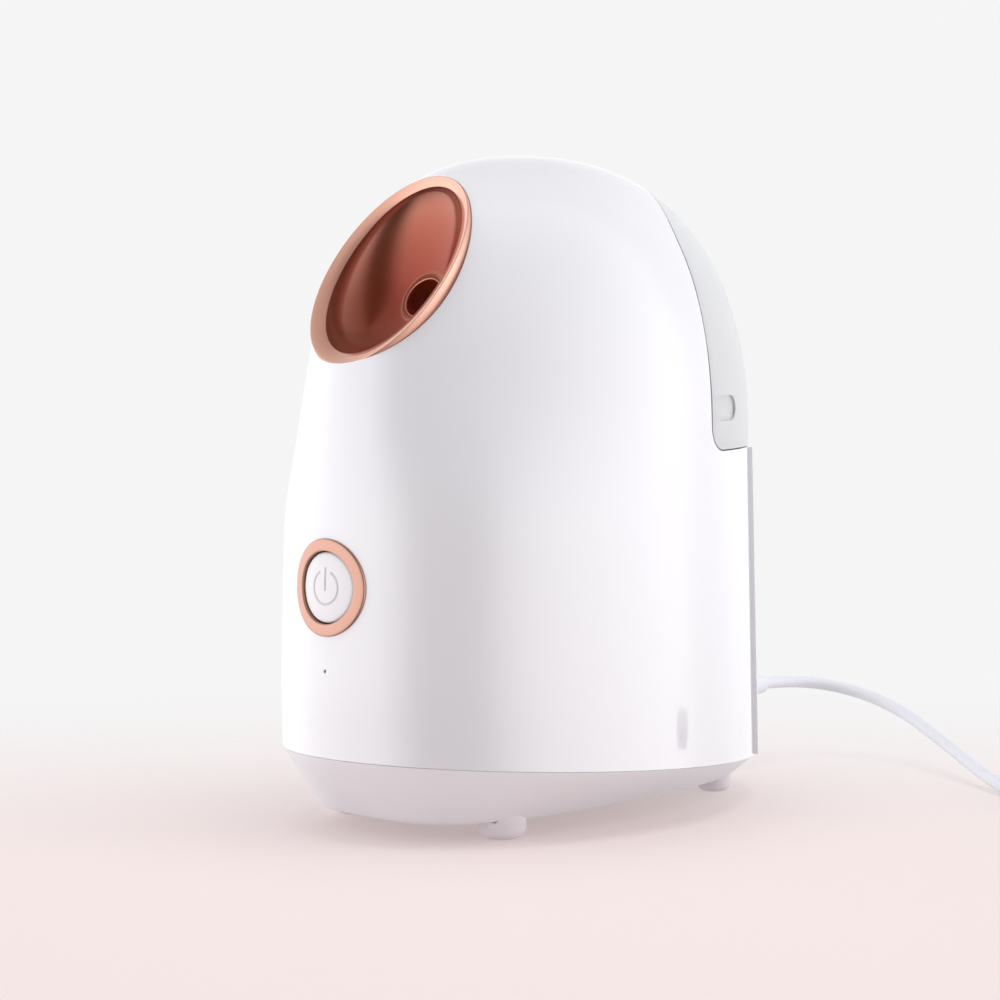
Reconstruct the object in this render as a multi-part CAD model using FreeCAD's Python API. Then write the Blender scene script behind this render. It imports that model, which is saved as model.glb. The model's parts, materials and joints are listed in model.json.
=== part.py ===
import FreeCAD, Part
import math
import os

# Facial steamer: an egg-shaped housing on a sloping base pan, a trumpet nozzle in front,
# a lift-off water tank in the upper back and a boiler between them.
# Millimetres. Origin: centre of the four feet's standing plane. +Z up, -Y is the front, +X its left hand.

V = FreeCAD.Vector
os.makedirs("parts", exist_ok=True)

# Housing form: an oval plan, nearly upright sides and a full dome
halfWidth = 64.5
halfDepth = 88.5
topHeight = 210.0
domeBase = 120.0
domePower = 2.3
formBase = 19.0
upperShrink = 0.967
panelProud = 1.5
centreY = -panelProud / 2
wall = 2.5

# Seam between shell and base pan: a plane that drops towards the back
seamMid = 19.0
seamSlope = 0.0756
seamGap = 0.15

# Base pan
panBottom = 5.5
panWall = 2.2
panHalfWidth = 40.0
panFront = 72.5
panBack = 80.0
panPower = 3.4
panOutlinePoints = 32

# Feet: x, y, radius
frontFoot = (32.0, -46.0, 7.5)
rearFoot = (27.0, 64.0, 5.5)

# Nozzle: rim plane, oval rim, round neck
rimCentre = V(0, -63.0, 174.0)
rimElevation = math.radians(36.5)
rimHalfWidth = 28.4
rimHalfLength = 36.2
rimProud = 0.5
rimThick = 1.8
lipWidth = 3.0
bowlDepth = 17.0
neckElevation = math.radians(30)
neckBore = 6.8
neckRadius = 8.0
neckLength = 13.0
trumpetWall = 1.4

# Tank bay: side outline of the opening in the upper back
bayFront = 20.5
bayFloor = 116.5
bayCorner = 8.0
bayArch = 24.0
bayArchCentreZ = 180.0
tankGap = 0.4
tankWall = 2.2
linerWall = 2.4
valveZ = 134.0
plugZ = 170.0
springRadius = 3.4
springWire = 0.3
springTurns = 3.5

# Button, ring and indicator on the front
buttonZ = 77.7
buttonRadius = 10.35
ringBore = 10.7
ringRadius = 14.5
ledZ = 52.4
boardFace = -72.0
boardThick = 1.6

# Boiler
boilerY = -28.0
boilerRadius = 25.0
boilerFlange = 29.5
boilerBottom = 57.4
boilerTop = 92.0
gasketThick = 1.5
lidThick = 3.5
bracketZ = 46.0
bracketThick = 2.4
hoseWall = 2.0

# Mains lead
cordDiameter = 4.2
cordRadius = cordDiameter / 2
cordExitY = 125.0
cordExitZ = 27.6
leadZ = 28.0
coilCentre = V(139, 139, 0)
coilTurnRadius = 24.0
coilLayers = 3
coilColumns = 3
coilEntry = math.radians(245)
coilLeave = math.radians(330)
plugLead = 18.0

saved = []


# Helpers


def save(name, shape):
    shape.exportStep("parts/" + name + ".step")
    saved.append(name)


def group(shapes):
    return Part.makeCompound(shapes)


def box(x0, x1, y0, y1, z0, z1):
    return Part.makeBox(x1 - x0, y1 - y0, z1 - z0, V(x0, y0, z0))


def rod(radius, start, end):
    start = V(*start)
    along = V(*end) - start
    return Part.makeCylinder(radius, along.Length, start, along)


def tube(outer, inner, start, end):
    return rod(outer, start, end).cut(rod(inner, start, end))


def cone(r0, r1, start, end):
    start = V(*start)
    along = V(*end) - start
    return Part.makeCone(r0, r1, along.Length, start, along)


def halfSpace(point, normal):
    """Everything on the side of a plane that its normal points to."""
    size = 500
    block = Part.makeBox(size, size, size, V(-size / 2, -size / 2, 0))
    block.Placement = FreeCAD.Placement(point, FreeCAD.Rotation(V(0, 0, 1), normal))
    return block


def form(offset, bottom=0.0):
    """The housing form, grown by an offset: a profile turned about Z, then narrowed across X."""
    depth = halfDepth + offset
    shoulder = depth * upperShrink
    rise = topHeight + offset - domeBase
    growth = (1 - upperShrink) / (domeBase - formBase)
    base = depth * (1 + growth * (formBase - bottom))

    def dome(degrees):
        a = math.radians(degrees)
        out = max(math.cos(a), 0) ** (2 / domePower)
        up = math.sin(a) ** (2 / domePower)
        return V(shoulder * out, 0, domeBase + rise * up)

    marks = [dome(d) for d in (0, 14, 28, 45, 62, 76, 90)]
    low = V(base, 0, bottom)
    middle = V(0, 0, bottom)
    edges = [Part.LineSegment(middle, low).toShape(), Part.LineSegment(low, marks[0]).toShape()]
    edges += [Part.Arc(marks[i], marks[i + 1], marks[i + 2]).toShape() for i in (0, 2, 4)]
    edges.append(Part.LineSegment(marks[-1], middle).toShape())
    turned = Part.Face(Part.Wire(edges)).revolve(V(0, 0, 0), V(0, 0, 1), 360)
    narrow = FreeCAD.Matrix()
    narrow.A11 = (halfWidth + offset) / depth
    solid = turned.transformGeometry(narrow)
    solid.translate(V(0, centreY, 0))
    return solid


def seamHeight(y):
    return seamMid - seamSlope * y


def belowSeam(gap=0.0):
    return halfSpace(V(0, 0, seamMid + gap), V(0, -seamSlope, -1))


def bayVolume(grow):
    """The space that the tank slides out of, backwards: a side outline carried across X."""
    y0 = bayFront - grow
    z0 = bayFloor - grow
    corner = bayCorner + grow
    arch = bayArch + grow
    archY = bayFront + bayArch
    backY = 130.0
    slant = math.sqrt(0.5)
    low = V(0, y0 + corner, z0)
    lowMid = V(0, y0 + corner * (1 - slant), z0 + corner * (1 - slant))
    frontLow = V(0, y0, z0 + corner)
    frontHigh = V(0, y0, bayArchCentreZ)
    archMid = V(0, archY - arch * slant, bayArchCentreZ + arch * slant)
    archTop = V(0, archY, bayArchCentreZ + arch)
    backHigh = V(0, backY, bayArchCentreZ + arch)
    backLow = V(0, backY, z0)
    edges = [
        Part.Arc(low, lowMid, frontLow).toShape(),
        Part.LineSegment(frontLow, frontHigh).toShape(),
        Part.Arc(frontHigh, archMid, archTop).toShape(),
        Part.LineSegment(archTop, backHigh).toShape(),
        Part.LineSegment(backHigh, backLow).toShape(),
        Part.LineSegment(backLow, low).toShape(),
    ]
    reach = halfWidth + 20
    solid = Part.Face(Part.Wire(edges)).extrude(V(2 * reach, 0, 0))
    solid.translate(V(-reach, 0, 0))
    return solid


def closedCurve(points):
    curve = Part.BSplineCurve()
    curve.interpolate(points, PeriodicFlag=True)
    return Part.Wire(curve.toShape())


def panVolume(inset, bottom, lift):
    """The pan's form: straight walls from a squarish bottom outline up to the oval seam."""
    lower = []
    upper = []
    for i in range(panOutlinePoints):
        a = 2 * math.pi * i / panOutlinePoints
        c = math.cos(a)
        s = math.sin(a)
        x = math.copysign(abs(c) ** (2 / panPower), c) * (panHalfWidth - inset)
        reach = (panFront if s < 0 else panBack) - inset
        y = math.copysign(abs(s) ** (2 / panPower), s) * reach
        lower.append(V(x, y, bottom))
        seamY = centreY + (halfDepth - inset) * s
        upper.append(V((halfWidth - inset) * c, seamY, seamHeight(seamY) + lift))
    return Part.makeLoft([closedCurve(lower), closedCurve(upper)], True, True)


def screw(head, headRadius, headHeight, tip, shankRadius):
    """A pan-head screw: head is the seat's centre, tip the point of the shank."""
    seat = V(*head)
    along = (V(*tip) - seat).normalize()
    top = seat - along * headHeight
    cap = Part.makeCylinder(headRadius, headHeight, top, along)
    slot = Part.makeBox(headRadius * 1.3, 0.7, headHeight * 0.5, V(-headRadius * 0.65, -0.35, 0))
    slot.Placement = FreeCAD.Placement(top, FreeCAD.Rotation(V(0, 0, 1), along))
    return cap.cut(slot).fuse(rod(shankRadius, head, tip)).removeSplitter()


def routePath(points):
    """Straight runs joined by tangent arcs, each as large as its two runs allow. Returns wire and radii."""
    edges = []
    radii = []
    start = points[0]
    for before, corner, after in zip(points, points[1:], points[2:]):
        a = (before - corner).normalize()
        b = (after - corner).normalize()
        turn = math.pi - a.getAngle(b)
        trim = 0.45 * min((before - corner).Length, (after - corner).Length)
        radius = trim / math.tan(turn / 2)
        radii.append(radius)
        entry = corner + a * trim
        leave = corner + b * trim
        inward = (a + b).normalize()
        centre = corner + inward * math.hypot(radius, trim)
        middle = centre - inward * radius
        edges.append(Part.LineSegment(start, entry).toShape())
        edges.append(Part.Arc(entry, middle, leave).toShape())
        start = leave
    edges.append(Part.LineSegment(start, points[-1]).toShape())
    return Part.Wire(edges), radii


def pipe(points, radius):
    path, radii = routePath(points)
    heading = (points[1] - points[0]).normalize()
    ring = Part.Wire(Part.makeCircle(radius, points[0], heading))
    return path.makePipeShell([ring], True, True), path, radii


# Directions of the nozzle
rimNormal = V(0, -math.cos(rimElevation), math.sin(rimElevation))
rimUp = V(0, math.sin(rimElevation), math.cos(rimElevation))
inwards = V(0, math.cos(neckElevation), -math.sin(neckElevation))
neckStart = rimCentre + inwards * bowlDepth
neckEnd = neckStart + inwards * neckLength


# Housing


def buttonHoles():
    y0 = -110
    y1 = boardFace - 2
    ringHole = rod(ringBore + 1.4, (0, y0, buttonZ), (0, y1, buttonZ))
    return ringHole.fuse(rod(1.0, (0, y0, ledZ), (0, y1, ledZ)))


def boardPosts():
    """Where the control board is screwed to the inside of the front."""
    return [(x, z) for x in (-12, 12) for z in (58.0, 99.0)]


def shellColumns():
    """Where the base screws come up into the shell."""
    return [(x, y) for x in (-33, 33) for y in (-16, 40)]


def makeMainShell():
    inner = form(-wall)
    shell = form(0).cut(inner)
    posts = [
        rod(3, (x, -100, z), (x, boardFace, z)).common(form(-0.5))
        for x, z in boardPosts()
    ]
    for x, y in shellColumns():
        side = math.copysign(1, x)
        posts.append(rod(4, (x, y, 26), (x, y, 46)))
        rib = box(min(x, side * 80), max(x, side * 80), y - 1.2, y + 1.2, 30, 44)
        posts.append(rib.common(form(-0.5)))
    shell = shell.multiFuse(posts)
    shell = shell.cut(halfSpace(rimCentre - rimNormal * (rimThick - rimProud), rimNormal))
    shell = shell.cut(bowl(trumpetWall + 0.15, 0.5))
    shell = shell.cut(belowSeam())
    shell = shell.cut(bayVolume(0))
    shell = shell.cut(box(-90, 90, 62, 110, -10, bayFloor + 1))
    shell = shell.cut(buttonHoles())
    for x, z in boardPosts():
        shell = shell.cut(rod(1.1, (x, boardFace - 9, z), (x, boardFace, z)))
    for x, y in shellColumns():
        shell = shell.cut(rod(1.4, (x, y, 20), (x, y, 42)))
    save("main_shell", shell)


def makeRearPanel():
    """Closes the back below the tank and stands a little proud of the shell."""
    skin = form(panelProud).cut(form(-wall))
    skin = skin.common(box(-90, 90, 62.3, 110, -10, bayFloor - 0.3))
    skin = skin.cut(belowSeam(0.3))
    skin = skin.cut(rod(5.3, (0, 70, cordExitZ), (0, 100, cordExitZ)))
    vents = [box(x - 1.1, x + 1.1, 60, 110, 62, 92) for x in range(-20, 21, 8)]
    save("rear_panel", skin.cut(vents[0].multiFuse(vents[1:])))


def panPosts():
    """Posts that carry the boiler bracket."""
    return [(x, y) for x in (-29, 29) for y in (-46, -2)]


def powerBoardPosts():
    return [(x, y) for x in (-24, 24) for y in (16, 48)]


def makeBasePan():
    outer = panVolume(0, panBottom, -seamGap)
    cavity = panVolume(panWall, panBottom + panWall, 2)
    pan = outer.cut(cavity)
    floor = panBottom + 1
    inside = [rod(4, (x, y, floor), (x, y, bracketZ)) for x, y in panPosts()]
    inside += [rod(3, (x, y, floor), (x, y, 14)) for x, y in powerBoardPosts()]
    inside += [rod(4.5, (x, y, floor), (x, y, 25.8)) for x, y in shellColumns()]
    inside.append(box(-10, 10, 62, 70, floor, leadZ - cordRadius))
    pan = pan.multiFuse(inside)
    for x, y in shellColumns():
        pan = pan.cut(rod(3.2, (x, y, 0), (x, y, 9)))
        pan = pan.cut(rod(1.6, (x, y, 0), (x, y, 30)))
    for x, y in panPosts():
        pan = pan.cut(rod(1.2, (x, y, bracketZ - 9), (x, y, bracketZ)))
    for x, y in powerBoardPosts():
        pan = pan.cut(rod(1.1, (x, y, 9), (x, y, 14)))
    for x in (-7, 7):
        pan = pan.cut(rod(1.1, (x, 66, 15), (x, 66, leadZ)))
    save("base_pan", pan)


def makeFeet():
    pan = panVolume(0, panBottom, -seamGap)
    for name, (x, y, r) in (("front_feet", frontFoot), ("rear_feet", rearFoot)):
        feet = []
        for side in (-1, 1):
            foot = rod(r, (side * x, y, 0), (side * x, y, 14))
            bottom = [e for e in foot.Edges if e.BoundBox.ZMax < 0.1]
            foot = foot.makeFillet(0.45 * r, bottom).cut(pan)
            low = [s for s in foot.Solids if s.BoundBox.ZMin < 1]
            feet.append(low[0])
        save(name, group(feet))


def makeBaseScrews():
    screws = [screw((x, y, 9), 2.9, 1.8, (x, y, 40), 1.4) for x, y in shellColumns()]
    save("base_screws", group(screws))


# Nozzle


def rimOval(depth, halfAcross, halfAlong, tilt):
    """An oval wire that sits a given depth into the bowl; tilt 0 is the rim's plane, 1 the neck's."""
    elevation = rimElevation + (neckElevation - rimElevation) * tilt
    normal = V(0, -math.cos(elevation), math.sin(elevation))
    upwards = V(0, math.sin(elevation), math.cos(elevation))
    centre = rimCentre + inwards * depth
    if abs(halfAlong - halfAcross) < 0.01:
        return Part.Wire(Part.makeCircle(halfAcross, centre, normal))
    oval = Part.Ellipse(centre + upwards * halfAlong, centre + V(halfAcross, 0, 0), centre)
    return Part.Wire(oval.toShape())


def bowl(grow, first, steps=6):
    """The bowl of the trumpet as a solid: ovals that close in on the neck."""
    wires = []
    for i in range(steps + 1):
        t = i / steps
        share = (1 - t**1.9) ** 0.75
        across = neckBore + (rimHalfWidth - lipWidth - neckBore) * share + grow
        along = neckBore + (rimHalfLength - lipWidth - neckBore) * share + grow + 0.02 * (1 - t)
        wires.append(rimOval(first + (bowlDepth - first) * t, across, along, t))
    return Part.makeLoft(wires, True, False)


def slab(across, along, low, high):
    """An oval plate parallel to the rim plane, between two heights above it."""
    centre = rimCentre + rimNormal * low
    oval = Part.Ellipse(centre + rimUp * along, centre + V(across, 0, 0), centre)
    return Part.Face(Part.Wire(oval.toShape())).extrude(rimNormal * (high - low))


def makeNozzle():
    neck = Part.makeCylinder(neckRadius, neckLength + 3, neckStart - inwards * 3, inwards)
    bore = Part.makeCylinder(neckBore, neckLength + 8, neckStart - inwards * 4, inwards)
    lip = slab(rimHalfWidth, rimHalfLength, rimProud - rimThick, rimProud)
    trumpet = lip.multiFuse([bowl(trumpetWall, 0.5), neck])
    trumpet = trumpet.cut(bowl(0, -2)).cut(bore)
    save("nozzle_trumpet", trumpet)

    # Soft ring on the neck, and the clamp ring that holds the trumpet back against the shell
    collarAt = neckStart + inwards * 3
    seal = Part.makeCylinder(neckRadius + 3, 2, collarAt, inwards)
    seal = seal.cut(Part.makeCylinder(neckRadius, 2, collarAt, inwards))
    save("neck_seal", seal)


def steamHosePoints():
    """From the nozzle's neck, round a bend, down to the boiler's steam outlet."""
    entry = neckEnd - inwards * 6
    corner = neckEnd + inwards * 11
    return [entry, corner, V(0, corner.y, boilerLidTop + 2)]


boilerLidTop = boilerTop + gasketThick + lidThick
steamOutletY = steamHosePoints()[1].y
inletY = boilerY + 19.5


def makeSteamHose():
    points = steamHosePoints()
    outer = pipe(points, neckRadius + hoseWall)[0]
    inner = pipe(points, neckRadius)[0]
    save("steam_hose", outer.cut(inner))

    clips = []
    places = (
        (points[0] + inwards * 1.5, inwards),
        (V(0, steamOutletY, boilerLidTop + 5), V(0, 0, 1)),
    )
    for at, along in places:
        ring = Part.makeCylinder(neckRadius + hoseWall + 0.9, 4, at, along)
        ring = ring.cut(Part.makeCylinder(neckRadius + hoseWall, 4, at, along))
        ear = Part.makeBox(2.4, 1, 4)
        ear.Placement = FreeCAD.Placement(at, FreeCAD.Rotation(V(0, 0, 1), along))
        ears = [ear.translated(V(neckRadius + hoseWall + 0.6, y, 0)) for y in (-2.0, 1.0)]
        clips.append(ring.multiFuse(ears))
    save("hose_clips", group(clips))


# Button and control board


def makeButton():
    bezelSkin = form(1.0).cut(form(0.02))
    flange = bezelSkin.common(tube(ringRadius, ringBore, (0, -110, buttonZ), (0, -60, buttonZ)))
    barrel = form(1.0).common(tube(ringBore + 1.2, ringBore, (0, -110, buttonZ), (0, -84, buttonZ)))
    save("button_ring", flange.fuse(barrel))

    cap = form(0.9).common(rod(buttonRadius, (0, -110, buttonZ), (0, -82.4, buttonZ)))
    hollow = rod(buttonRadius - 1.6, (0, -86.2, buttonZ), (0, -80, buttonZ))
    stem = rod(2.5, (0, -87, buttonZ), (0, boardFace - 5.35, buttonZ))
    stop = tube(ringBore + 1.1, buttonRadius - 1.6, (0, -83.5, buttonZ), (0, -82.4, buttonZ))
    save("power_button", cap.cut(hollow).multiFuse([stem, stop]))

    body = box(-3, 3, boardFace - 3.5, boardFace, buttonZ - 3, buttonZ + 3)
    well = rod(1.8, (0, boardFace - 3.5, buttonZ), (0, boardFace - 1.4, buttonZ))
    save("switch_body", body.cut(well))
    save("switch_plunger", rod(1.7, (0, boardFace - 5.3, buttonZ), (0, boardFace - 2.5, buttonZ)))


def makeControlBoard():
    back = boardFace + boardThick
    board = box(-17, 17, boardFace, back, 46, 105)
    for x, z in boardPosts():
        board = board.cut(rod(1.2, (x, boardFace - 1, z), (x, back + 1, z)))
    save("control_board", board)
    screws = [screw((x, back, z), 2.1, 1.5, (x, boardFace - 8, z), 1.1) for x, z in boardPosts()]
    save("board_screws", group(screws))
    save("control_chip", box(-5, 5, back, back + 1.8, 62, 72))

    led = rod(1.5, (0, boardFace - 4, ledZ), (0, boardFace, ledZ))
    save("power_led", led)
    lens = rod(0.9, (0, -110, ledZ), (0, boardFace - 4.2, ledZ)).common(form(0.0))
    collar = rod(1.8, (0, boardFace - 9, ledZ), (0, boardFace - 4.2, ledZ))
    save("light_pipe", lens.fuse(collar))


# Boiler


def around(count, radius, turn=0.0):
    for i in range(count):
        a = math.radians(turn) + 2 * math.pi * i / count
        yield radius * math.cos(a), boilerY + radius * math.sin(a)


def makeBoiler():
    heaterBottom = boilerBottom - 5
    plate = box(-35, 35, -52, 4, bracketZ, bracketZ + bracketThick)
    plate = plate.cut(rod(15, (0, boilerY, bracketZ - 1), (0, boilerY, bracketZ + 5)))
    pads = [
        rod(4, (x, y, bracketZ + 1), (x, y, heaterBottom)) for x, y in around(3, 20, 90)
    ]
    plate = plate.multiFuse(pads)
    for x, y in panPosts():
        plate = plate.cut(rod(1.4, (x, y, bracketZ - 1), (x, y, bracketZ + 6)))
    save("boiler_bracket", plate)
    top = bracketZ + bracketThick
    screws = [screw((x, y, top), 2.5, 1.8, (x, y, bracketZ - 8), 1.2) for x, y in panPosts()]
    save("bracket_screws", group(screws))

    save("heater_plate", rod(24, (0, boilerY, heaterBottom), (0, boilerY, boilerBottom)))
    can = rod(8, (0, boilerY, heaterBottom - 6), (0, boilerY, heaterBottom))
    tabs = box(-11, 11, boilerY - 2.5, boilerY + 2.5, heaterBottom - 7, heaterBottom - 6)
    save("thermostat", can.fuse(tabs))

    cup = rod(boilerRadius, (0, boilerY, boilerBottom), (0, boilerY, boilerTop))
    rim = rod(boilerFlange, (0, boilerY, boilerTop - 2.4), (0, boilerY, boilerTop))
    hollow = rod(boilerRadius - 2, (0, boilerY, boilerBottom + 2.5), (0, boilerY, boilerTop + 1))
    cup = cup.fuse(rim).cut(hollow)
    lidBottom = boilerTop + gasketThick
    lid = rod(boilerFlange, (0, boilerY, lidBottom), (0, boilerY, boilerLidTop))
    outlet = (0, steamOutletY, boilerLidTop)
    lid = lid.fuse(rod(neckRadius, outlet, (0, steamOutletY, boilerLidTop + 14)))
    lid = lid.fuse(rod(3.2, (0, inletY, boilerLidTop), (0, inletY, boilerLidTop + 9)))
    lid = lid.cut(rod(6.4, (0, steamOutletY, lidBottom - 1), (0, steamOutletY, boilerLidTop + 15)))
    lid = lid.cut(rod(2.0, (0, inletY, lidBottom - 1), (0, inletY, boilerLidTop + 10)))
    lidScrews = []
    for x, y in around(6, boilerRadius + 2.2, 30):
        lidScrews.append(screw((x, y, boilerLidTop), 2.0, 1.5, (x, y, boilerTop - 3.5), 1.0))
        hole = rod(1.05, (x, y, boilerTop - 4), (x, y, boilerLidTop + 1))
        cup = cup.cut(hole)
        lid = lid.cut(hole)
    save("boiler_cup", cup)
    save("boiler_lid", lid)
    save("boiler_screws", group(lidScrews))
    below = (0, boilerY, boilerTop)
    above = (0, boilerY, lidBottom)
    save("boiler_gasket", tube(boilerRadius + 0.9, boilerRadius - 2, below, above))

    fuseY = boilerY + boilerRadius + 2.0
    save("thermal_fuse", rod(2.0, (-6, fuseY, 70), (6, fuseY, 70)))
    clip = box(-3, 3, fuseY - 0.8, fuseY + 2.6, 67.2, 72.8)
    save("fuse_clip", clip.cut(rod(2.0, (-9, fuseY, 70), (9, fuseY, 70))))


# Water tank and its bay


def makeTankBay():
    liner = bayVolume(linerWall).cut(bayVolume(0)).common(form(-wall - 0.1))
    liner = liner.cut(box(-90, 90, 83, 110, 0, 300))
    liner = liner.cut(rod(4.0, (0, 0, valveZ), (0, 30, valveZ)))
    liner = liner.cut(rod(12.5, (0, 0, plugZ), (0, 30, plugZ)))
    save("tank_bay_liner", liner)

    # The spigot that opens the tank's valve and feeds the boiler
    wallFront = bayFront - linerWall
    spigot = rod(4.0, (0, wallFront - 12, valveZ), (0, bayFront + 6.8, valveZ))
    spigot = spigot.fuse(rod(9, (0, wallFront - 2.2, valveZ), (0, wallFront, valveZ)))
    spigot = spigot.cut(rod(2.6, (0, 0, valveZ), (0, bayFront + 4.5, valveZ)))
    window = box(-4.5, 4.5, bayFront + 3.2, bayFront + 4.4, valveZ - 1.5, valveZ + 1.5)
    save("feed_spigot", spigot.cut(window))
    seal = Part.makeTorus(4.5, 0.5, V(0, bayFront + 5.6, valveZ), V(0, 1, 0))
    save("spigot_seal", seal)

    hoseRadius = 4.0 + 1.6
    start = V(0, wallFront - 3, valveZ)
    corner = V(0, inletY, valveZ)
    end = V(0, inletY, boilerLidTop + 1)
    outer = pipe([start, corner, end], hoseRadius)[0]
    inner = pipe([start, corner, end], 4.0)[0]
    sleeve = tube(4.0, 3.2, (0, inletY, boilerLidTop + 1), (0, inletY, boilerLidTop + 9))
    save("feed_hose", outer.cut(inner))
    save("inlet_sleeve", sleeve)


def makeTank():
    frontFace = bayFront + tankGap
    plateBack = frontFace + tankWall
    outer = form(0).common(bayVolume(-tankGap))
    hollow = form(-tankWall).common(bayVolume(-tankGap - tankWall))
    skin = outer.cut(hollow)
    grips = []
    for side in (-1, 1):
        grip = rod(4.0, (side * 40, 27, 130), (side * 80, 27, 130))
        grip = grip.fuse(rod(4.0, (side * 40, 35, 130), (side * 80, 35, 130)))
        near = min(side * 40, side * 80)
        grip = grip.fuse(box(near, near + 40, 27, 35, 126, 134))
        grips.append(grip.cut(form(-0.9)))
    behind = halfSpace(V(0, plateBack, 0), V(0, 1, 0))
    before = halfSpace(V(0, plateBack, 0), V(0, -1, 0))
    save("water_tank", skin.common(behind).cut(grips[0]).cut(grips[1]))
    plate = skin.common(before)
    plate = plate.cut(rod(6.5, (0, 0, valveZ), (0, 40, valveZ)))
    plate = plate.cut(rod(7.0, (0, 0, plugZ), (0, 40, plugZ)))
    save("tank_front_plate", plate)

    # Valve in the front plate: housing, sprung plunger with its seal, and the silicone filling plug
    bore = 5.1
    housing = rod(6.4, (0, frontFace, valveZ), (0, plateBack, valveZ))
    housing = housing.fuse(rod(9, (0, plateBack, valveZ), (0, plateBack + 14, valveZ)))
    housing = housing.cut(rod(bore, (0, 0, valveZ), (0, plateBack + 12, valveZ)))
    housing = housing.cut(rod(1.88, (0, 0, valveZ), (0, plateBack + 20, valveZ)))
    ports = box(-12, 12, plateBack + 6, plateBack + 9, valveZ - 2, valveZ + 2)
    save("valve_housing", housing.cut(ports))
    seatY = bayFront + 6.9
    plunger = rod(4.7, (0, seatY, valveZ), (0, seatY + 2, valveZ))
    plunger = plunger.fuse(rod(1.8, (0, seatY, valveZ), (0, plateBack + 17, valveZ)))
    save("valve_plunger", plunger)
    springFrom = seatY + 2.3
    springTo = plateBack + 11.7
    springLength = springTo - springFrom
    coil = Part.makeHelix(springLength / springTurns, springLength, springRadius)
    section = Part.Wire(Part.makeCircle(springWire, V(springRadius, 0, 0), V(0, 1, 0)))
    spring = coil.makePipeShell([section], True, True)
    turned = FreeCAD.Rotation(V(0, 0, 1), V(0, 1, 0))
    spring.Placement = FreeCAD.Placement(V(0, springFrom, valveZ), turned)
    save("valve_spring", spring)

    stopper = rod(6.95, (0, frontFace, plugZ), (0, plateBack + 4, plugZ))
    flange = rod(10, (0, frontFace - 2.6, plugZ), (0, frontFace, plugZ))
    tab = box(-3, 3, frontFace - 8, frontFace - 2, plugZ - 1, plugZ + 1)
    save("fill_plug", stopper.multiFuse([flange, tab]))


# Power supply and mains lead


def makePowerBoard():
    top = 14 + boardThick
    board = box(-28, 28, 10, 56, 14, top)
    for x, y in powerBoardPosts():
        board = board.cut(rod(1.2, (x, y, 13), (x, y, 20)))
    save("power_board", board)
    screws = [screw((x, y, top), 2.1, 1.5, (x, y, 10), 1.1) for x, y in powerBoardPosts()]
    save("power_board_screws", group(screws))
    save("relay", box(-20, -5, 20, 32, top, top + 15))
    save("filter_capacitor", box(4, 20, 18, 26, top, top + 12))
    block = box(-12, 12, 46, 55, top, top + 9)
    for x in (-7, 0, 7):
        block = block.cut(rod(1.6, (x, 50, top + 4), (x, 50, top + 10)))
    save("terminal_block", block)


def makeStrainRelief():
    flange = rod(8, (0, 80, cordExitZ), (0, 83, cordExitZ))
    neck = rod(5.2, (0, 83, cordExitZ), (0, 90, cordExitZ))
    sleeve = cone(5.6, 3.3, (0, 90, cordExitZ), (0, cordExitY, cordExitZ))
    relief = flange.multiFuse([neck, sleeve])
    for i in range(5):
        y = 96 + i * 5
        groove = box(-8, 8, y, y + 1.4, cordExitZ - 8, cordExitZ + 8)
        relief = relief.cut(groove.cut(rod(2.7, (0, y - 1, cordExitZ), (0, y + 3, cordExitZ))))
    save("strain_relief", relief.cut(rod(cordRadius, (0, 79, cordExitZ), (0, 88, cordExitZ))))

    save("inner_lead", rod(cordRadius, (0, 56, leadZ), (0, 79.9, leadZ)))
    bar = box(-10, 10, 62, 70, leadZ - 1.2, leadZ + 5)
    bar = bar.cut(rod(cordRadius, (0, 60, leadZ), (0, 72, leadZ)))
    for x in (-7, 7):
        bar = bar.cut(rod(1.1, (x, 66, 20), (x, 66, leadZ + 6)))
    save("cord_clamp", bar)
    screws = [screw((x, 66, leadZ + 5), 2.1, 1.5, (x, 66, 17), 1.1) for x in (-7, 7)]
    save("clamp_screws", group(screws))


def coilPoint(angle, radius, z):
    return coilCentre + V(radius * math.cos(angle), radius * math.sin(angle), z)


cordRoute = [
    V(0, cordExitY, cordExitZ),
    V(0.4, 136, 27.4),
    V(7, 149.2, 26.2),
    V(20.5, 156.5, 23.4),
    V(40, 154.7, 18.8),
    V(62, 144.3, 12.9),
    V(83.5, 132.3, 7.2),
    V(102.5, 121.3, 2.9),
    V(115.5, 115.8, 2.1),
]


def makeCord():
    outerTurn = coilTurnRadius + cordDiameter
    points = cordRoute + [coilPoint(coilEntry, outerTurn, cordRadius)]
    cord, path, radii = pipe(points, cordRadius)
    section = math.pi * cordRadius**2
    print("cord radii", [round(r) for r in radii])
    share = cord.Volume / (section * path.Length)
    print("cord run", round(path.Length, 1), "volume share", round(share, 4))
    save("power_cord", cord)

    outside = coilTurnRadius + cordDiameter * coilColumns / 2
    inside = coilTurnRadius - cordDiameter * coilColumns / 2
    base = coilCentre
    top = coilCentre + V(0, 0, cordDiameter * coilLayers)
    save("cord_coil", tube(outside, inside, base, top))


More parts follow.
